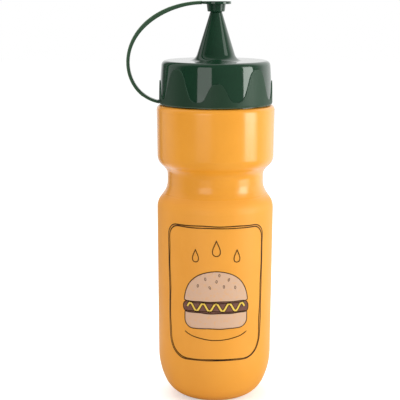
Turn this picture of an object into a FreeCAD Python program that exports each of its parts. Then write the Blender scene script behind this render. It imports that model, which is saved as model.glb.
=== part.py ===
import FreeCAD, Part
import math
import os
import Sketcher
from FreeCAD import Vector

# A half-litre squeeze bottle for condiments, in millimetres, standing on z = 0.
# Two mouldings: the blown bottle, and a screw closure that carries its own
# nozzle, tether strap and stopper in one piece.  The strap bends over towards -X.

doc = FreeCAD.newDocument("squeeze_bottle")

SIZES = {
    # bottle, from the standing ring upwards
    "push_up_radius": 10.0,
    "push_up_rise": 2.2,
    "push_up_round": 5.0,
    "ring_width": 2.0,
    "foot_draw_in": 9.7,
    "foot_round": 16.9,
    "heel_draw_in": 0.9,
    "heel_height": 17.7,
    "heel_round": 39.5,
    "body_radius": 33.7,
    "body_height": 116.0,
    "body_round": 9.6,
    "taper_height": 8.6,
    "waist_depth": 6.27,
    "waist_length": 9.4,
    "waist_round": 11.0,
    "crease_swell": 2.37,
    "crease_rise": 3.1,
    "crease_round": 3.8,
    "crease_waist_round": 5.2,
    "drum_draw_in": 0.43,
    "drum_foot_rise": 2.6,
    "drum_round": 7.2,
    "drum_height": 35.4,
    "shoulder_radius": 34.05,
    "shoulder_round": 2.8,
    # closure
    "skirt_gap": 0.4,
    "skirt_set_in": 1.9,
    "skirt_wall": 2.85,
    "neck_clearance": 0.3,
    "cap_height": 24.9,
    "plate_thick": 2.3,
    "plate_draw_in": 1.0,
    "crown_height": 11.0,
    "crown_reach": 9.0,
    "plate_round": 2.8,
    "nozzle_radius": 11.9,
    "nozzle_flare": 5.0,
    "nozzle_length": 30.6,
    "orifice_radius": 2.4,
    # raised wave grip round the skirt
    "grip_rise": 0.5,
    "ledge_slope": 0.27,
    "grip_foot_round": 1.1,
    "trough_height": 3.4,
    "short_peak": 10.1,
    "peak_below_plate": 4.0,
    "short_share": 0.44,
    "flank_steepness": 0.48,
    # stopper
    "tip_clearance": 0.2,
    "stopper_roof": 2.6,
    "disc_radius": 8.6,
    "disc_thick": 1.45,
    "disc_round": 0.35,
    "plug_radius": 5.45,
    "plug_drop": 4.3,
    "plug_taper": 0.5,
    "plug_round": 0.45,
    # tether strap
    "strap_width": 6.0,
    "strap_thick": 1.92,
    "strap_belly": 0.68,
    "belly_share": 0.64,
    "strap_reach": 17.2,
    "strap_bow_reach": 63.9,
    "strap_bow_drop": 11.2,
    "strap_root_height": 1.0,
    "strap_root_reach": 24.5,
    "strap_root_slope": 8.9,
    "strap_edge_round": 0.5,
    "hinge_length": 9.3,
    "hinge_ramp": 1.2,
    "hinge_thin": 0.18,
}

GRIP_PERIODS = 4
GRIP_POINTS = 96
STRAP_SPANS = 14

sheet = doc.addObject("Spreadsheet::Sheet", "sizes")
for row, (alias, size) in enumerate(SIZES.items(), start=1):
    sheet.set(f"A{row}", alias)
    sheet.set(f"B{row}", str(size))
    sheet.setAlias(f"B{row}", alias)
doc.recompute()


def named(expression):
    """Put the sheet's name before each size in an expression."""
    words = expression.split(" ")
    return " ".join(f"sizes.{word}" if word in SIZES else word for word in words)


def value(expression):
    """The number that an expression of named sizes gives."""
    return float(sheet.evalExpression(named(expression)))


def origin_plane(body, role):
    return next(item for item in body.Origin.OriginFeatures if item.Role == role)


def new_sketch(body, name):
    sketch = body.newObject("Sketcher::SketchObject", name)
    sketch.AttachmentSupport = [(origin_plane(body, "XZ_Plane"), "")]
    sketch.MapMode = "FlatFace"
    return sketch


class Outline:
    """A closed sketch outline whose corners and roundings are bound to the sheet."""

    def __init__(self, body, name, corners):
        self.sketch = new_sketch(body, name)
        self.constraints = []
        self.bound = {}
        spots = [Vector(value(corner[0]), value(corner[1]), 0) for corner in corners]
        rounds = [value(corner[2]) if len(corner) > 2 else 0 for corner in corners]
        ends = [self.tangent_points(spots, rounds, index) for index in range(len(corners))]
        lines = []
        for here, after in zip(ends, ends[1:] + ends[:1]):
            lines.append(self.sketch.addGeometry(Part.LineSegment(here[1], after[0])))
        for index, corner in enumerate(corners):
            pair = lines[index - 1], lines[index]
            if rounds[index]:
                self.round_corner(pair, spots[index], ends[index], rounds[index], corner)
            else:
                self.constrain("Coincident", pair[0], 2, pair[1], 1)
                self.pin(pair[1], corner)
        self.sketch.addConstraint(self.constraints)
        for index, expression in self.bound.items():
            self.sketch.setExpression(f"Constraints[{index}]", named(expression))

    @staticmethod
    def tangent_points(spots, rounds, index):
        """Where a corner's rounding meets the straight run before it and after it."""
        spot = spots[index]
        back = (spots[index - 1] - spot).normalize()
        ahead = (spots[(index + 1) % len(spots)] - spot).normalize()
        reach = rounds[index] / math.tan(back.getAngle(ahead) / 2)
        return spot + back * reach, spot + ahead * reach

    def constrain(self, *terms, bound_to=None):
        if bound_to:
            self.bound[len(self.constraints)] = bound_to
        self.constraints.append(Sketcher.Constraint(*terms))

    def pin(self, geometry, corner):
        """Dimension a point from the origin; a zero puts it on that axis."""
        for expression, kind, axis in ((corner[0], "DistanceX", -2), (corner[1], "DistanceY", -1)):
            size = value(expression)
            if size:
                self.constrain(kind, -1, 1, geometry, 1, size, bound_to=expression)
            else:
                self.constrain("PointOnObject", geometry, 1, axis)

    def round_corner(self, pair, spot, ends, radius, corner):
        enter, leave = ends
        chord_middle = (enter + leave) / 2 - spot
        centre = spot + chord_middle * ((enter - spot).Length / chord_middle.Length) ** 2
        left_turn = (enter - centre).cross(leave - centre).z > 0
        first, last = (enter, leave) if left_turn else (leave, enter)
        angles = [math.atan2(end.y - centre.y, end.x - centre.x) for end in (first, last)]
        circle = Part.Circle(centre, Vector(0, 0, 1), radius)
        arc = self.sketch.addGeometry(Part.ArcOfCircle(circle, *angles))
        point = self.sketch.addGeometry(Part.Point(spot), True)
        enter_end, leave_end = (1, 2) if left_turn else (2, 1)
        self.constrain("PointOnObject", point, 1, pair[0])
        self.constrain("PointOnObject", point, 1, pair[1])
        self.constrain("Tangent", pair[0], 2, arc, enter_end)
        self.constrain("Tangent", arc, leave_end, pair[1], 1)
        self.pin(point, corner)
        self.constrain("Radius", arc, radius, bound_to=corner[2])


def revolved(label, corners):
    """A body turned about Z from corners given as (radius, height[, rounding])."""
    body = doc.addObject("PartDesign::Body", label)
    turn = body.newObject("PartDesign::Revolution", f"{label}_turn")
    turn.Profile = Outline(body, f"{label}_outline", corners).sketch
    turn.ReferenceAxis = (turn.Profile[0], ["V_Axis"])
    turn.Angle = 360
    doc.recompute()
    return body


# ------------------------------ heights and radii worked out from the sizes
WAIST_FOOT = "body_height + taper_height"
WAIST_TOP = f"{WAIST_FOOT} + waist_length"
CREASE = f"{WAIST_TOP} + crease_rise"
SHOULDER = f"{CREASE} + drum_height"
SKIRT_FOOT = f"{SHOULDER} + skirt_gap"
PLATE_TOP = f"{SKIRT_FOOT} + cap_height"
TIP_TOP = f"{PLATE_TOP} + nozzle_length"
NECK_TOP = f"{PLATE_TOP} - plate_thick"
WAIST_RADIUS = "shoulder_radius - waist_depth"
SKIRT_RADIUS = "shoulder_radius - skirt_set_in"
PLATE_RADIUS = f"{SKIRT_RADIUS} - plate_draw_in"
SOCKET_RADIUS = f"{SKIRT_RADIUS} - skirt_wall"
NECK_RADIUS = f"{SOCKET_RADIUS} - neck_clearance"

# ---------------------------------------------------------------- bottle
# The foot's rounding leaves a flat standing ring at least ring_width wide.
FOOT_TURN = "atan( heel_height / ( foot_draw_in - heel_draw_in ) )"
FOOT_FLAT = "body_radius - foot_draw_in - push_up_radius - ring_width"
FOOT_ROUND = f"min( foot_round ; ( {FOOT_FLAT} ) / tan( {FOOT_TURN} / 2 ) )"

bottle = revolved("bottle", [
    ("0", "push_up_rise"),
    ("push_up_radius - push_up_rise * 2", "push_up_rise", "push_up_round"),
    ("push_up_radius", "0"),
    ("body_radius - foot_draw_in", "0", FOOT_ROUND),
    ("body_radius - heel_draw_in", "heel_height", "heel_round"),
    ("body_radius", "body_height", "body_round"),
    (WAIST_RADIUS, WAIST_FOOT, "waist_round"),
    (WAIST_RADIUS, WAIST_TOP, "crease_waist_round"),
    (f"{WAIST_RADIUS} + crease_swell", CREASE, "crease_round"),
    ("shoulder_radius - drum_draw_in", f"{CREASE} + drum_foot_rise", "drum_round"),
    ("shoulder_radius", SHOULDER, "shoulder_round"),
    (NECK_RADIUS, SHOULDER),
    (NECK_RADIUS, NECK_TOP),
    ("0", NECK_TOP),
])

# --------------------------------------------- closure: cap and nozzle
# The crown's slight turn inwards is eased over crown_reach, as far as its wall allows.
CROWN_TURN = "atan( plate_draw_in / ( cap_height - crown_height ) )"
CROWN_REACH = "min( crown_reach ; cap_height - crown_height - plate_round )"
CROWN_ROUND = f"{CROWN_REACH} / tan( {CROWN_TURN} / 2 )"

cap = revolved("cap", [
    ("0", NECK_TOP),
    (SOCKET_RADIUS, NECK_TOP),
    (SOCKET_RADIUS, SKIRT_FOOT),
    (SKIRT_RADIUS, SKIRT_FOOT),
    (SKIRT_RADIUS, f"{SKIRT_FOOT} + crown_height", CROWN_ROUND),
    (PLATE_RADIUS, PLATE_TOP, "plate_round"),
    ("nozzle_radius", PLATE_TOP, "nozzle_flare"),
    ("orifice_radius", TIP_TOP),
    ("0", TIP_TOP),
])

# ------------------------------------------------ closure: stopper
STOPPER_TOP = f"{TIP_TOP} + tip_clearance + stopper_roof"
DISC_UNDER = f"{STOPPER_TOP} - disc_thick"
PLUG_FOOT = f"{DISC_UNDER} - plug_drop"
NOZZLE_SLOPE = "( nozzle_radius - orifice_radius ) / nozzle_length"
SOCKET_TOP = "orifice_radius + tip_clearance"
SOCKET_DEPTH = "( stopper_roof + tip_clearance - disc_thick )"
SOCKET_FOOT = f"{SOCKET_TOP} + ( plug_drop - {SOCKET_DEPTH} ) * {NOZZLE_SLOPE}"

stopper = revolved("stopper", [
    ("0", f"{TIP_TOP} + tip_clearance"),
    (SOCKET_TOP, f"{TIP_TOP} + tip_clearance"),
    (SOCKET_FOOT, PLUG_FOOT),
    ("plug_radius - plug_taper", PLUG_FOOT, "plug_round"),
    ("plug_radius", DISC_UNDER),
    ("disc_radius", DISC_UNDER, "disc_round"),
    ("disc_radius", STOPPER_TOP, "disc_round"),
    ("0", STOPPER_TOP),
])


# ------------------------------------------------ closure: wave grip
TALL_PEAK = "cap_height - peak_below_plate - trough_height"


def lobe(turn, half_width):
    """A rounded crest from 1 at turn 0 to 0 at half_width, with steep flanks."""
    if abs(turn) >= half_width:
        return 0
    swing = math.cos(math.pi * turn / half_width)
    swing += value("flank_steepness") * (swing - swing**3)
    return (1 + swing) / 2


def wave_point(step, inset, rise, short, tall, share):
    """Where the grip's upper edge lies: distance round the skirt, and height."""
    period = 2 * math.pi / GRIP_PERIODS
    turn = (step * period / (GRIP_POINTS / GRIP_PERIODS)) % period
    near_short = turn if turn < period / 2 else turn - period
    near_tall = turn - period / 2
    height = short * lobe(near_short, share * period / 2)
    height += tall * lobe(near_tall, (1 - share) * period / 2)
    return Vector(step * 2 * math.pi / GRIP_POINTS * inset, rise + height, 0)


def wave_edge(radius):
    """The ledge's line at one radius: a closed wave that draws in further out."""
    pull_back = value("ledge_slope") * (radius - value(SKIRT_RADIUS))
    sizes = [value(size) for size in ("trough_height", "short_peak", TALL_PEAK, "short_share")]
    flat = [wave_point(step, value(SKIRT_RADIUS), *sizes) for step in range(-1, GRIP_POINTS + 1)]
    foot = value(SKIRT_FOOT)
    spots = []
    for before, here, after in zip(flat, flat[1:], flat[2:]):
        along = (after - before).normalize()
        moved = here + Vector(along.y, -along.x, 0) * pull_back
        turn = moved.x / value(SKIRT_RADIUS) - math.pi / 2
        spots.append(Vector(radius * math.cos(turn), radius * math.sin(turn), foot + moved.y))
    curve = Part.BSplineCurve()
    curve.interpolate(Points=spots, PeriodicFlag=True)
    return curve.toShape()


ring = revolved("grip_ring", [
    (f"{SOCKET_RADIUS} + grip_rise", SKIRT_FOOT),
    (f"{SKIRT_RADIUS} + grip_rise", SKIRT_FOOT, "grip_foot_round"),
    (f"{SKIRT_RADIUS} + grip_rise", f"{SKIRT_FOOT} + crown_height", CROWN_ROUND),
    (f"{PLATE_RADIUS} + grip_rise", PLATE_TOP),
    (f"{SOCKET_RADIUS} + grip_rise", PLATE_TOP),
])
inner_edge = wave_edge(value(NECK_RADIUS))
outer_edge = wave_edge(value(f"{SKIRT_RADIUS} + 4 * grip_rise"))
ledge = Part.makeRuledSurface(inner_edge, outer_edge)
under_wave = ledge.extrude(Vector(0, 0, -2 * value("cap_height")))
grip = doc.addObject("Part::Feature", "grip")
grip.Shape = ring.Shape.common(under_wave)


# ------------------------------------------------ closure: tether strap
def strap_middle():
    """The strap's middle line, one Bezier sweep from the stopper's disc down to the skirt."""
    disc_end = Vector(-value("disc_radius - disc_round"), value(f"{STOPPER_TOP} - disc_thick / 2"), 0)
    root_radius = value(f"{SKIRT_RADIUS} + grip_rise / 2")
    root = Vector(-root_radius, value(f"{SKIRT_FOOT} + strap_root_height"), 0)
    slope = math.radians(value("strap_root_slope"))
    outward = Vector(-math.cos(slope), math.sin(slope), 0)
    curve = Part.BezierCurve()
    curve.setPoles([
        disc_end,
        disc_end - Vector(value("strap_reach"), 0, 0),
        Vector(-value("strap_bow_reach"), disc_end.y - value("strap_bow_drop"), 0),
        root + outward * value("strap_root_reach"),
        root,
    ])
    return curve


def strap_side(curve, start, finish, side, trim=0):
    """One edge of the strap: the middle line moved out by half the thickness there."""
    spots = []
    spans = max(3, round(STRAP_SPANS * abs(finish - start)))
    for step in range(spans + 1):
        share = start + (finish - start) * step / spans
        swell = math.sin(math.pi * min(1, share / value("belly_share"))) ** 2
        half = (value("strap_thick") + value("strap_belly") * swell) / 2 - trim
        along = curve.tangent(share)[0]
        spots.append(curve.value(share) + Vector(-along.y, along.x, 0) * half * side)
    edge = Part.BSplineCurve()
    edge.interpolate(spots)
    return edge


tether = doc.addObject("PartDesign::Body", "tether")
strap_sketch = new_sketch(tether, "strap_outline")
middle = strap_middle()
thick_length = middle.length() - value("hinge_length")
thick_end = middle.parameterAtDistance(thick_length - value("hinge_ramp"), 0)
thin_start = middle.parameterAtDistance(thick_length, 0)
INNER, OUTER = 1, -1
sides = [
    strap_side(middle, 0, thick_end, OUTER),
    strap_side(middle, thin_start, 1, OUTER, value("hinge_thin")),
    strap_side(middle, 1, 0, INNER),
]
curves = []
for side, after in zip(sides, sides[1:] + sides[:1]):
    curves.append(side)
    curves.append(Part.LineSegment(side.EndPoint, after.StartPoint))
strap_sketch.addGeometry(curves)
for index in range(len(curves)):
    strap_sketch.addConstraint(Sketcher.Constraint("Block", index))
strap = tether.newObject("PartDesign::Pad", "strap")
strap.Profile = strap_sketch
strap.Midplane = True
strap.setExpression("Length", "sizes.strap_width")
doc.recompute()


def runs_along(edge):
    """True for the rims of the strap's two flat sides, but not for its two ends."""
    spot = edge.CenterOfMass
    flat = Vector(spot.x, spot.z, 0)
    from_ends = min(flat.distanceToPoint(middle.value(share)) for share in (0, 1))
    return edge.BoundBox.YLength < 1e-6 and from_ends > value("strap_thick")


strap_round = tether.newObject("PartDesign::Fillet", "strap_round")
rims = [number for number, edge in enumerate(strap.Shape.Edges, start=1) if runs_along(edge)]
strap_round.Base = (strap, [f"Edge{number}" for number in rims])
strap_round.setExpression("Radius", "sizes.strap_edge_round")
doc.recompute()

# ------------------------------------------------ closure: one moulding
closure = doc.addObject("Part::MultiFuse", "closure")
closure.Shapes = [cap, grip, stopper, tether]
doc.recompute()

SUB_PARTS = [bottle, closure]
for item in doc.Objects:
    if {"Invalid", "Error"} & set(item.State):
        raise RuntimeError(f"{item.Label} did not build: {item.State}")
for item in SUB_PARTS:
    if item.Shape.isNull() or not item.Shape.isValid():
        raise RuntimeError(f"{item.Label} has no valid shape")

os.makedirs("parts", exist_ok=True)
for item in SUB_PARTS:
    item.Shape.exportStep(f"parts/{item.Label}.step")
    box = item.Shape.BoundBox
    print(
        f"{item.Label}: {len(item.Shape.Solids)} solid, {item.Shape.Volume / 1000:.1f} cm3,",
        f"x {box.XMin:.1f}..{box.XMax:.1f}, z {box.ZMin:.1f}..{box.ZMax:.1f}",
    )
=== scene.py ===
import math
import random

import bmesh
import bpy
from mathutils import Matrix, Vector, noise
from mathutils.geometry import delaunay_2d_cdt


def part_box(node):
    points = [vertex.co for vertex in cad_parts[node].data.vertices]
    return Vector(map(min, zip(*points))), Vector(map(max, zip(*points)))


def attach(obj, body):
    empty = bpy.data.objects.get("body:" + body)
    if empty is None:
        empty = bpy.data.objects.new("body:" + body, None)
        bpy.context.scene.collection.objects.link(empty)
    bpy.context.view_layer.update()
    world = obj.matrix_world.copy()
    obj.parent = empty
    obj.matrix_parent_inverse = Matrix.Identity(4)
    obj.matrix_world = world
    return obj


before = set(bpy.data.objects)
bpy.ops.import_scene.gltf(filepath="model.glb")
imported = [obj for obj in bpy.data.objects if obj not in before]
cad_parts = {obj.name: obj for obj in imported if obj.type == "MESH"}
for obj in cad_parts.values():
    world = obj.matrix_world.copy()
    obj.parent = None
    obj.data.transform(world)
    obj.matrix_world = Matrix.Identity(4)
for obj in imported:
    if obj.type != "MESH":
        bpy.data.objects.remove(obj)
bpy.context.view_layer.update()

MM = 0.001
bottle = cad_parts["bottle"]
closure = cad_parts["closure"]
closure_low, closure_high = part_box("closure")
SKIRT_FOOT = closure_low.z
SKIRT_RADIUS = closure_high.x
CAP_HEIGHT = 24.9 * MM
STOPPER_RISE = 33.4 * MM
PLATE_TOP = SKIRT_FOOT + CAP_HEIGHT
DISC_TOP = PLATE_TOP + STOPPER_RISE


# ------------------------------------------------------------ shader maths
class Signal:
    """A node's output; arithmetic on it adds Math nodes to the same tree."""

    def __init__(self, tree, socket):
        self.tree = tree
        self.socket = socket

    def maths(self, operation, *terms):
        return self.tree.node("Math", {"operation": operation}, dict(enumerate(terms)))

    def __add__(self, other):
        return self.maths("ADD", self, other)

    def __radd__(self, other):
        return self.maths("ADD", other, self)

    def __sub__(self, other):
        return self.maths("SUBTRACT", self, other)

    def __rsub__(self, other):
        return self.maths("SUBTRACT", other, self)

    def __mul__(self, other):
        return self.maths("MULTIPLY", self, other)

    def __rmul__(self, other):
        return self.maths("MULTIPLY", other, self)

    def __truediv__(self, other):
        return self.maths("DIVIDE", self, other)

    def __pow__(self, other):
        return self.maths("POWER", self, other)

    def __neg__(self):
        return self.maths("SUBTRACT", 0.0, self)

    def __abs__(self):
        return self.maths("ABSOLUTE", self)

    def at_least(self, other):
        return self.maths("MAXIMUM", self, other)

    def at_most(self, other):
        return self.maths("MINIMUM", self, other)

    def rise(self, low, high):
        """0 below low, 1 above high, and smooth between; high may be the smaller."""
        settings = {"interpolation_type": "SMOOTHSTEP"}
        inputs = {"Value": self, "From Min": low, "From Max": high}
        return self.tree.node("MapRange", settings, inputs)

    def within(self, start, full, last, end):
        """1 from full to last, and fading out to 0 at start and at end."""
        return self.rise(start, full) * self.rise(end, last)


class NodeTree:
    """A shader node tree that is written as expressions."""

    def __init__(self, owner):
        owner.use_nodes = True
        self.tree = owner.node_tree
        self.tree.nodes.clear()

    def node(self, kind, settings=None, inputs=None, output=0):
        """Add a node: its settings first, then the values or links of its sockets."""
        made = self.tree.nodes.new("ShaderNode" + kind)
        for name, setting in (settings or {}).items():
            setattr(made, name, setting)
        for name, source in (inputs or {}).items():
            if isinstance(source, Signal):
                self.tree.links.new(source.socket, made.inputs[name])
            else:
                made.inputs[name].default_value = source
        return Signal(self, made.outputs[output]) if made.outputs else made

    def blend(self, share, first, second):
        """A colour between two colours."""
        inputs = {0: share, 6: first, 7: second}
        return self.node("Mix", {"data_type": "RGBA"}, inputs, output=2)

    def parts(self, vector):
        """The x, y and z of a vector."""
        return [self.node("SeparateXYZ", None, {0: vector}, output=axis) for axis in range(3)]

    def place(self):
        """The spot being shaded, as x, y and z in metres."""
        return self.parts(self.node("TexCoord", output="Object"))

    def rays(self):
        """1 for rays that come from the eye, off gloss, and through clear things."""
        kinds = ("Camera", "Glossy", "Transmission")
        return [self.node("LightPath", output=f"Is {kind} Ray") for kind in kinds]

    def stain(self, grain, detail=3.0, roughness=0.55, stretch=None):
        """Soft noise from 0 to 1 whose patches are about grain metres across."""
        where = self.node("TexCoord", output="Object")
        if stretch:
            inputs = {0: where, 1: stretch}
            where = self.node("VectorMath", {"operation": "MULTIPLY"}, inputs)
        inputs = {"Vector": where, "Scale": 1 / grain, "Detail": detail, "Roughness": roughness}
        return self.node("TexNoise", None, inputs)

    def outward(self, centre):
        """How far a surface faces away from a point: its normal times the way out."""
        where = self.node("TexCoord", output="Object")
        way = self.node("VectorMath", {"operation": "SUBTRACT"}, {0: where, 1: centre})
        inputs = {0: way, 1: self.node("TexCoord", output="Normal")}
        return self.node("VectorMath", {"operation": "DOT_PRODUCT"}, inputs, output="Value")

    def relief(self, height, depth):
        """A normal that follows a height from 0 to 1, at its real depth."""
        return self.node("Bump", None, {"Height": height, "Distance": depth, "Strength": 1.0})


def colour(red, green, blue):
    return (red, green, blue, 1.0)


WHITE = colour(1, 1, 1)


class Finish(NodeTree):
    """A Principled material."""

    def __init__(self, name, **constants):
        self.material = bpy.data.materials.new(name)
        super().__init__(self.material)
        self.constants = constants

    def coat(self, **sockets):
        sockets = {**self.constants, **sockets}
        inputs = {name.replace("_", " "): source for name, source in sockets.items()}
        surface = self.node("BsdfPrincipled", None, inputs)
        self.node("OutputMaterial", None, {"Surface": surface})
        return self.material


# ------------------------------------------------------------ materials
SKIN_DEEP = colour(0.84, 0.333, 0.027)
SKIN_PALE = colour(0.865, 0.351, 0.032)
SKIN_RUBBED = colour(0.72, 0.36, 0.10)
GLOSS_FOOT = 122.5 * MM
SATIN_TOP = 117.5 * MM


def bottle_plastic():
    """Warm yellow polyethylene: satin up to the waist and glossy above it."""
    finish = Finish("squeeze_bottle_skin", IOR=1.5, Coat_Roughness=0.12, Coat_IOR=1.5)
    x, y, z = finish.place()
    cloud = finish.stain(28 * MM)
    haze = finish.stain(6 * MM, detail=4.0)
    peel = finish.stain(1.1 * MM, detail=2.0)
    ripple = finish.stain(11 * MM, detail=1.0, stretch=(1.0, 1.0, 0.35))
    parting = abs(y).rise(0.35 * MM, 0.05 * MM)
    satin = z.rise(GLOSS_FOOT, SATIN_TOP)
    rubbed = z.rise(1.6 * MM, 0.2 * MM) * haze
    skin = finish.blend(cloud.rise(0.3, 0.7), SKIN_DEEP, SKIN_PALE)
    return finish.coat(
        Base_Color=finish.blend(rubbed, skin, SKIN_RUBBED),
        Roughness=0.2 + 0.06 * haze + 0.26 * satin + 0.2 * rubbed,
        Coat_Weight=0.3 - 0.3 * satin,
        Normal=finish.relief(peel * 0.10 + ripple * 0.5 + parting * 0.5, 0.12 * MM),
    )


# The cap's wall leans in above its skirt along one large round, and the grip's
# ledge stands on that wall. The strap's loop lies round LOOP_CENTRE.
CROWN_START = SKIRT_FOOT + 2.0 * MM
CROWN_ROUND = 250.4 * MM
GRIP_RISE = 0.5 * MM
STRAP_FOOT = PLATE_TOP + 13 * MM
STRAP_OVER_SKIRT = SKIRT_RADIUS + 0.8 * MM
LOOP_CENTRE = (-25 * MM, 0.0, 204 * MM)
GLOSS_DEEP, GLOSS_PALE = colour(0.006, 0.032, 0.015), colour(0.008, 0.038, 0.018)
GRIP_DEEP, GRIP_PALE = colour(0.003, 0.035, 0.0125), colour(0.007, 0.046, 0.0175)
# Painted light and shade on the strap: its outer side lighter, its inner side darker.
STRAP_INNER_PAINTED_SHADE, STRAP_OUTER_PAINTED_LIGHT = colour(0.027, 0.070, 0.035), colour(0.068, 0.138, 0.064)
# Painted highlight: a pale line along the edge of the grip's ledge.
LEDGE_PAINTED_HIGHLIGHT = colour(0.075, 0.145, 0.100)


def closure_plastic():
    """Dark green polypropylene: polished cap, nozzle and strap, satin wave grip, with painted
    light and shade on the strap and a painted highlight on the ledge.
    """
    finish = Finish("closure_skin", IOR=1.5, Coat_Roughness=0.04, Coat_IOR=1.5)
    x, y, z = finish.place()
    radius = (x * x + y * y) ** 0.5

    above = (z - CROWN_START).at_least(0.0)
    wall_here = (SKIRT_RADIUS - GRIP_RISE) - above * above / (2 * CROWN_ROUND)
    proud = radius - wall_here
    grip = proud.within(0.15 * MM, 0.3 * MM, 1.0 * MM, 1.4 * MM)
    # Painted highlight: a pale band on the grip's ledge, kept below the plate.
    ledge_highlight = proud.within(0.06 * MM, 0.16 * MM, 0.34 * MM, 0.44 * MM)
    ledge_highlight = ledge_highlight * z.rise(PLATE_TOP - 2 * MM, PLATE_TOP - 3 * MM)

    upper = z.rise(STRAP_FOOT, STRAP_FOOT + 1 * MM) * radius.rise(8.7 * MM, 9.9 * MM)
    strap = upper.at_least(radius.rise(STRAP_OVER_SKIRT, STRAP_OVER_SKIRT + 1 * MM))
    # Painted light and shade: the strap is lighter where it faces away from the loop's centre.
    painted_light_side = finish.outward(LOOP_CENTRE).rise(2 * MM, 20 * MM)
    lid = z.rise(DISC_TOP - 0.3 * MM, DISC_TOP - 0.1 * MM) * radius.rise(9.6 * MM, 8.6 * MM)

    cloud = finish.stain(14 * MM)
    spark = finish.stain(0.35 * MM, detail=3.0)
    flow = finish.stain(7 * MM, detail=2.0)
    scuff = finish.stain(2.4 * MM, detail=5.0, stretch=(1.0, 1.0, 3.0)).rise(0.62, 0.8)
    gloss_skin = finish.blend(cloud, GLOSS_DEEP, GLOSS_PALE)
    grip_skin = finish.blend(spark, GRIP_DEEP, GRIP_PALE)
    strap_painted_light_and_shade = finish.blend(painted_light_side, STRAP_INNER_PAINTED_SHADE, STRAP_OUTER_PAINTED_LIGHT)
    skin = finish.blend(grip, gloss_skin, grip_skin)
    skin = finish.blend(ledge_highlight * 0.8, skin, LEDGE_PAINTED_HIGHLIGHT)
    dull = grip * (0.4 + 0.06 * spark) + 0.15 * strap + 0.5 * lid
    return finish.coat(
        Base_Color=finish.blend(strap, skin, strap_painted_light_and_shade),
        Roughness=0.07 + 0.05 * scuff + dull,
        Coat_Weight=0.3 - 0.3 * grip.at_least(lid),
        Normal=finish.relief(spark * 0.5 * grip + flow * 0.35, 0.06 * MM),
    )


def print_ink(name, shade, worn_shade):
    """Screen-print ink: flat and slightly dull, thinner in small spots."""
    finish = Finish(name, IOR=1.3)
    thin = finish.stain(1.6 * MM, detail=5.0).rise(0.48, 0.78)
    mesh = finish.stain(0.25 * MM, detail=1.0)
    return finish.coat(
        Base_Color=finish.blend(thin, shade, worn_shade),
        Roughness=0.4 + 0.12 * thin,
        Normal=finish.relief(mesh, 0.01 * MM),
    )


# ------------------------------------------------------------ layers of ink
INK_THICK = 0.03 * MM
INK_STEP = 1.4 * MM
WELD_REACH = 0.002 * MM


class Wall:
    """The bottle's wall, unrolled: across is measured round it from the front."""

    def __init__(self, node):
        rings = {}
        for vertex in node.data.vertices:
            height = round(vertex.co.z, 6)
            rings[height] = max(vertex.co.xy.length, rings.get(height, 0))
        self.heights = sorted(rings)
        self.radii = [rings[height] for height in self.heights]

    def radius(self, height):
        above = next(index for index, ring in enumerate(self.heights) if ring >= height)
        low, high = self.heights[above - 1], self.heights[above]
        share = (height - low) / (high - low)
        return self.radii[above - 1] * (1 - share) + self.radii[above] * share

    def spot(self, across, height, lift):
        radius = self.radius(height)
        turn = across / radius - math.pi / 2
        out = Vector((math.cos(turn), math.sin(turn), 0))
        return out * (radius + lift) + Vector((0, 0, height))


wall = Wall(bottle)


def ink_piece(name, faces, points, lift, material):
    """Wrap a flat layer of ink round the wall and give it its thickness."""
    mesh = bpy.data.meshes.new(name)
    mesh.from_pydata([wall.spot(*point, lift) for point in points], [], faces)
    mesh.validate()
    piece = bpy.data.objects.new(name, mesh)
    bpy.context.scene.collection.objects.link(piece)
    mesh.materials.append(material)
    form = bmesh.new()
    form.from_mesh(mesh)
    bmesh.ops.remove_doubles(form, verts=form.verts, dist=WELD_REACH)
    bmesh.ops.recalc_face_normals(form, faces=form.faces)
    level = Vector((1, 1, 0))
    inward = [face for face in form.faces
              if face.normal.dot(face.calc_center_median() * level) < 0]
    bmesh.ops.reverse_faces(form, faces=inward)
    form.to_mesh(mesh)
    form.free()
    for face in mesh.polygons:
        face.use_smooth = True
    thick = piece.modifiers.new("ink_thickness", "SOLIDIFY")
    thick.thickness = INK_THICK
    thick.offset = 1
    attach(piece, "root")


class Print:
    """Collects fields and strokes of one ink, then lays them down as one piece."""

    def __init__(self):
        self.points = []
        self.faces = []

    def add(self, points, faces):
        start = len(self.points)
        self.points += points
        self.faces += [[start + corner for corner in face] for face in faces]

    def field(self, outline):
        """A filled shape, cut into small faces so that it follows the round wall."""
        corners = [Vector(spot) for spot in outline]
        edges = [(index, (index + 1) % len(corners)) for index in range(len(corners))]
        low = [min(spot[axis] for spot in outline) for axis in (0, 1)]
        high = [max(spot[axis] for spot in outline) for axis in (0, 1)]
        across, up = (int((high[axis] - low[axis]) / INK_STEP) for axis in (0, 1))
        inner = [
            Vector((low[0] + INK_STEP * (column + 0.5 * (row % 2)), low[1] + INK_STEP * row))
            for row in range(up + 1) for column in range(across + 1)
        ]
        flat = delaunay_2d_cdt(corners + inner, edges, [], 1, 1e-7)
        self.add([tuple(spot) for spot in flat[0]], flat[2])

    def stroke(self, path, width, closed=False):
        """A pen line; its width may be a function of the share of the way along."""
        count = len(path)
        points = []
        for index, spot in enumerate(path):
            before = path[index - 1] if closed or index else spot
            after = path[(index + 1) % count] if closed or index < count - 1 else spot
            along = (Vector(after) - Vector(before)).normalized()
            pen = width(index / count) if callable(width) else width
            side = Vector((-along.y, along.x)) * pen / 2
            points += [tuple(Vector(spot) + side), tuple(Vector(spot) - side)]
        faces = []
        for index in range(count if closed else count - 1):
            here, there = 2 * index, 2 * ((index + 1) % count)
            faces.append([here, here + 1, there + 1, there])
        self.add(points, faces)

    def lay(self, name, lift, material):
        ink_piece(name, self.faces, self.points, lift, material)


# ------------------------------------------------------------ pen paths
PATH_STEP = 0.9 * MM
SHAKE_WAVE = 9 * MM


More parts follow.
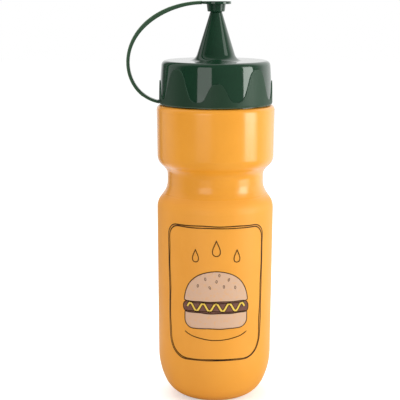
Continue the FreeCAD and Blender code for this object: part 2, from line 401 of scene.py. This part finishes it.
def fine(path, step, closed=False):
    """The same path with its long runs cut up."""
    cut = []
    ends = path[1:] + path[:1] if closed else path[1:]
    for here, there in zip(path, ends):
        run = Vector(there) - Vector(here)
        pieces = max(1, math.ceil(run.length / step))
        cut += [tuple(Vector(here) + run * index / pieces) for index in range(pieces)]
    return cut if closed else cut + [path[-1]]


def rounded_box(left, right, foot, top, foot_round, top_round):
    """An upright box with rounded corners, as a closed path."""
    path = []
    middle = (left + right) / 2
    corners = [
        (right, foot, foot_round, -90), (right, top, top_round, 0),
        (left, top, top_round, 90), (left, foot, foot_round, 180),
    ]
    for side, level, bend, start in corners:
        inset = math.copysign(bend, side - middle)
        centre = Vector((side - inset, level + (bend if level == foot else -bend)))
        steps = max(4, round(bend * math.pi / 2 / PATH_STEP))
        for index in range(steps + 1):
            turn = math.radians(start + 90 * index / steps)
            path.append(tuple(centre + Vector((math.cos(turn), math.sin(turn))) * bend))
    return fine(path, PATH_STEP, closed=True)


def sweep(centre, half_wide, half_tall, start, finish, steps):
    """Points along part of an ellipse, in degrees."""
    path = []
    for step in range(steps + 1):
        turn = math.radians(start + (finish - start) * step / steps)
        path.append((centre[0] + half_wide * math.cos(turn),
                     centre[1] + half_tall * math.sin(turn)))
    return path


def shaky(path, amount, seed, wave=SHAKE_WAVE):
    """A path drawn by hand: it wanders a little from side to side."""
    return [
        (x + amount * noise.noise(Vector((x, z, seed * SHAKE_WAVE)) / wave),
         z + amount * noise.noise(Vector((z, x, (seed + 5) * SHAKE_WAVE)) / wave))
        for x, z in path
    ]


def offset(path, reach):
    """A path moved sideways."""
    moved = []
    for index, spot in enumerate(path):
        before, after = path[max(0, index - 1)], path[min(len(path) - 1, index + 1)]
        along = (Vector(after) - Vector(before)).normalized()
        moved.append((spot[0] - along.y * reach, spot[1] + along.x * reach))
    return moved


def leaning(path, degrees, centre):
    """A path turned about the origin and then moved to a centre."""
    turn = Matrix.Rotation(math.radians(degrees), 2)
    return [tuple(turn @ Vector(spot) + Vector(centre)) for spot in path]


def pen_pressure(seed, thin, thick):
    """The width of a pen that presses harder in places."""
    def width(way):
        turn = Vector((math.cos(way * 2 * math.pi), math.sin(way * 2 * math.pi), seed))
        return thin + (thick - thin) * (0.5 + 0.5 * noise.noise(turn * 2.4))
    return width


# ------------------------------------------------------------ the bottle's print
random.seed(11)
LINE_PEN = 0.48 * MM
FRAME_FOOT, FRAME_TOP = 29.0 * MM, 107.0 * MM
FRAME_HALF = 31.0 * MM
FRAME_TAPER = 0.06
FRAME_ASIDE = 0.3 * MM
BURGER_MIDDLE = 60.0 * MM
BURGER_HALF = 19.5 * MM
BURGER_SHAKE = 0.5 * MM
WAVE_STEPS = 90
SEED_SPOTS = (
    (-10.5, 8.5), (-6.2, 12.6), (-3.6, 7.6), (0.2, 11.2),
    (1.8, 14.8), (4.4, 8.2), (7.2, 12.2), (11.0, 7.6),
)
DROPS = ((-12, 90, 1.0), (0, 94.5, 1.25), (12, 90, 1.0))
DROP_STEPS = 40
dark_lines = Print()


def draw_frame():
    """Two loose pen lines round the picture, a little narrower at their foot."""
    for seed, inset in ((1.7, 0.0), (6.2, 0.9 * MM)):
        box = rounded_box(-FRAME_HALF + inset, FRAME_HALF - inset, FRAME_FOOT + inset * 0.6,
                          FRAME_TOP - inset * 1.1, 13 * MM, 7 * MM)
        path = []
        for across, height in box:
            down = (FRAME_TOP - height) / (FRAME_TOP - FRAME_FOOT)
            path.append((across * (1 - FRAME_TAPER * down) - FRAME_ASIDE, height))
        path = shaky(path, 0.6 * MM, seed, wave=15 * MM)
        dark_lines.stroke(path, pen_pressure(seed, 0.25 * MM, 0.75 * MM), closed=True)


def draw_burger():
    """A burger in flat colours with dark outlines, a wavy line of sauce and seeds."""
    buns, filling, sauce = Print(), Print(), Print()
    patty_foot = BURGER_MIDDLE - 3.2 * MM
    patty_top = BURGER_MIDDLE + 3.6 * MM
    dome_foot = patty_top + 0.6 * MM
    dome_half = BURGER_HALF - 0.6 * MM
    lower = rounded_box(-BURGER_HALF + 1 * MM, BURGER_HALF - 1 * MM, patty_foot - 9 * MM,
                        patty_foot + 1 * MM, 5.5 * MM, 1.2 * MM)
    patty = rounded_box(-BURGER_HALF, BURGER_HALF, patty_foot, patty_top, 3 * MM, 3 * MM)
    dome = sweep((0, dome_foot), dome_half, 17 * MM, 0, 180, 54)
    dome += sweep((0, dome_foot), dome_half, 1.6 * MM, 180, 360, 40)[1:-1]
    for layer, outline, seed in ((buns, lower, 2.0), (filling, patty, 3.0), (buns, dome, 4.0)):
        outline = shaky(outline, BURGER_SHAKE, seed)
        layer.field(outline)
        dark_lines.stroke(outline, LINE_PEN, closed=True)

    reach = BURGER_HALF - 2.6 * MM
    wave = []
    for step in range(WAVE_STEPS + 1):
        share = step / WAVE_STEPS
        height = BURGER_MIDDLE + 0.3 * MM + 2.2 * MM * math.sin(share * 9 * math.pi)
        wave.append((-reach + 2 * reach * share, height))
    sauce.stroke(wave, 1.15 * MM)
    for side in (-1, 1):
        dark_lines.stroke(offset(wave, side * 0.72 * MM), 0.34 * MM)

    for across, height in SEED_SPOTS:
        lean = random.uniform(-35, 35)
        spot = (across * MM, dome_foot + height * MM)
        seed_shape = leaning(sweep((0, 0), 0.42 * MM, 0.85 * MM, 0, 345, 12), lean, spot)
        dark_lines.stroke(seed_shape, 0.26 * MM, closed=True)

    bun_ink = print_ink("ink_bun", colour(0.66, 0.42, 0.29), colour(0.72, 0.40, 0.20))
    patty_ink = print_ink("ink_patty", colour(0.17, 0.075, 0.06), colour(0.24, 0.11, 0.07))
    sauce_ink = print_ink("ink_sauce", colour(0.83, 0.58, 0.10), colour(0.84, 0.50, 0.08))
    buns.lay("print_buns", 0.05 * MM, bun_ink)
    filling.lay("print_patty", 0.06 * MM, patty_ink)
    sauce.lay("print_sauce", 0.09 * MM, sauce_ink)


def draw_drops():
    """Three drops of sauce over the bun, in outline, and a curved line under it."""
    for across, height, size in DROPS:
        drop = []
        for step in range(DROP_STEPS):
            turn = 2 * math.pi * step / DROP_STEPS
            wide = 2.6 * math.sin(turn) * math.sin(turn / 2) ** 1.6
            tall = 3.6 * math.cos(turn)
            drop.append(((across + size * wide) * MM, (height + size * tall) * MM))
        dark_lines.stroke(shaky(drop, 0.2 * MM, across + 20.0), LINE_PEN, closed=True)
    under = sweep((0, 62 * MM), 30 * MM, 21 * MM, 232, 308, 40)
    dark_lines.stroke(shaky(under, 0.5 * MM, 9.0), LINE_PEN)


draw_frame()
draw_burger()
draw_drops()
line_ink = print_ink("ink_lines", colour(0.035, 0.014, 0.002), colour(0.085, 0.034, 0.004))
dark_lines.lay("print_lines", 0.11 * MM, line_ink)


# ------------------------------------------------------------ finishes on the CAD nodes
for node, material in ((bottle, bottle_plastic()), (closure, closure_plastic())):
    node.data.materials.clear()
    node.data.materials.append(material)


# ------------------------------------------------------------ floor and room
FLOOR_SIZE = 6
FLOOR_SHADE = colour(0.86, 0.86, 0.85)
FLOOR_GLOW = 0.45
ROOM_LIGHT = 0.66
FRONT_STREAK = 0.22
SIDE_STREAK = 1.9
NEAR_GLOW = 1.3


def room_glow(across, away):
    """What gloss mirrors of the room, by the parts of a direction from the bottle:
    dim in front, white behind, and a soft panel on either side."""
    right = across.rise(-0.1, 0.1)
    front = 0.17 + 0.12 * across
    right_side = away.rise(-0.1, 0.55) + 0.35 * away.within(0.15, 0.5, 0.7, 0.9)
    left_side = away.rise(0.75, 0.98) + 0.62 * away.within(-0.35, 0.2, 0.55, 0.7)
    behind = right * right_side + (1 - right) * left_side
    return front + (1 - front) * behind


def pale_floor():
    """A white table that stays white to the eye and keeps the bottle's shadow.

    To gloss it shows the room, with a streak of light under two of the softboxes.
    """
    bpy.ops.mesh.primitive_plane_add(size=FLOOR_SIZE)
    floor = bpy.context.object
    floor.name = "table"
    material = bpy.data.materials.new("white_table")
    table = NodeTree(material)
    seen, mirrored, bent = table.rays()
    x, y, z = table.place()
    reach = (x * x + y * y) ** 0.5
    front = (x / -y).within(-0.85, -0.78, -0.20, -0.16) * y.rise(-0.5, -0.62)
    side = (y / x).within(-0.7, -0.63, -0.10, -0.04) * x.rise(0.48, 0.6)
    near = reach.rise(0.35, 0.2) * y.rise(-0.03, 0.12)
    room = room_glow(x / reach, y / reach).at_least(near * NEAR_GLOW)
    shown = room + FRONT_STREAK * front + SIDE_STREAK * side
    matt = table.node("BsdfDiffuse", None, {"Color": FLOOR_SHADE})
    glow = table.node("Emission", None, {"Color": WHITE, "Strength": FLOOR_GLOW * (seen + bent)})
    both = table.node("AddShader", None, {0: matt, 1: glow})
    far = table.node("Emission", None, {"Color": WHITE, "Strength": shown})
    surface = table.node("MixShader", None, {0: mirrored, 1: both, 2: far})
    table.node("OutputMaterial", None, {"Surface": surface})
    floor.data.materials.append(material)


def studio_world():
    """White to the eye, the room to gloss, and a plain soft light on all else."""
    world = bpy.data.worlds.new("studio")
    bpy.context.scene.world = world
    sky = NodeTree(world)
    seen, mirrored, bent = sky.rays()
    across, away, up = sky.parts(sky.node("TexCoord", output="Generated"))
    shows_room = (mirrored + bent).at_most(1.0)
    unseen = shows_room * room_glow(across, away) + (1 - shows_room) * ROOM_LIGHT
    strength = seen + (1 - seen) * unseen
    light = sky.node("Background", None, {"Color": WHITE, "Strength": strength})
    sky.node("OutputWorld", None, {"Surface": light})


# ------------------------------------------------------------ lights
KEY_BEARING = 68.3
KEY_WIDE = 0.47
KEY_TINT = (0.92, 1.0, 0.93)
FILL_BEARING = 98
FILL_WIDE = 0.5
FRONT_BEARING = -24.6
FRONT_WIDE = 0.78
FRONT_TINT = (1.0, 0.99, 0.98)
SIDE_AWAY = 1.15
FRONT_AWAY = 1.5
TOP_WIDE = 0.9
TOP_PLACE = (-0.2, 0, 1.3)


def soft_light(name, place, turn, wide, tall, radiance, tint, mirrored):
    """A soft rectangle of light; mirrored says whether gloss shows it."""
    lamp = bpy.data.lights.new(name, "AREA")
    lamp.shape = "RECTANGLE"
    lamp.size = wide
    lamp.size_y = tall
    lamp.energy = radiance * math.pi * wide * tall
    lamp.color = tint
    stand = bpy.data.objects.new(name, lamp)
    stand.location = place
    stand.rotation_euler = turn
    stand.visible_glossy = mirrored
    bpy.context.scene.collection.objects.link(stand)


def softbox(name, bearing, away, wide, foot, top, radiance, tint, mirrored=True):
    """An upright soft light; its bearing is counted from the front towards +X."""
    turn = math.radians(bearing)
    place = (away * math.sin(turn), -away * math.cos(turn), (foot + top) / 2)
    upright = (math.radians(90), 0, turn)
    soft_light(name, place, upright, wide, top - foot, radiance, tint, mirrored)


pale_floor()
studio_world()
softbox("key_softbox", KEY_BEARING, SIDE_AWAY, KEY_WIDE, 0.0, 0.6, 6.2, KEY_TINT)
softbox("key_top_softbox", KEY_BEARING, SIDE_AWAY, KEY_WIDE, 0.6, 0.95, 1.6, KEY_TINT)
softbox("side_fill", FILL_BEARING, SIDE_AWAY, FILL_WIDE, 0.0, 0.6, 3.3, KEY_TINT, mirrored=False)
soft_light("top_softbox", TOP_PLACE, (0, 0, 0), TOP_WIDE, TOP_WIDE, 2.2, (1, 1, 1), False)
softbox("front_softbox", FRONT_BEARING, FRONT_AWAY, FRONT_WIDE, 0.0, 0.9, 1.65, FRONT_TINT)


# ------------------------------------------------------------ camera
CAMERA_AWAY = 0.75
CAMERA_HEIGHT = 0.246
CAMERA_BEARING = math.radians(-1.4)
CAMERA_YAW = math.radians(0.677)
CAMERA_DIP = math.radians(9.8)
CAMERA_ROLL = math.radians(0.18)
camera_data = bpy.data.cameras.new("camera")
camera_data.sensor_width = 36
camera_data.lens = 117.3
camera = bpy.data.objects.new("camera", camera_data)
bpy.context.scene.collection.objects.link(camera)
look = Matrix.Rotation(CAMERA_BEARING + CAMERA_YAW, 4, "Z")
look @= Matrix.Rotation(math.radians(90) - CAMERA_DIP, 4, "X")
look @= Matrix.Rotation(CAMERA_ROLL, 4, "Z")
stand_at = Vector((CAMERA_AWAY * math.sin(CAMERA_BEARING),
                   -CAMERA_AWAY * math.cos(CAMERA_BEARING), CAMERA_HEIGHT))
camera.matrix_world = Matrix.Translation(stand_at) @ look
bpy.context.scene.camera = camera
bpy.context.scene.view_settings.view_transform = "Standard"
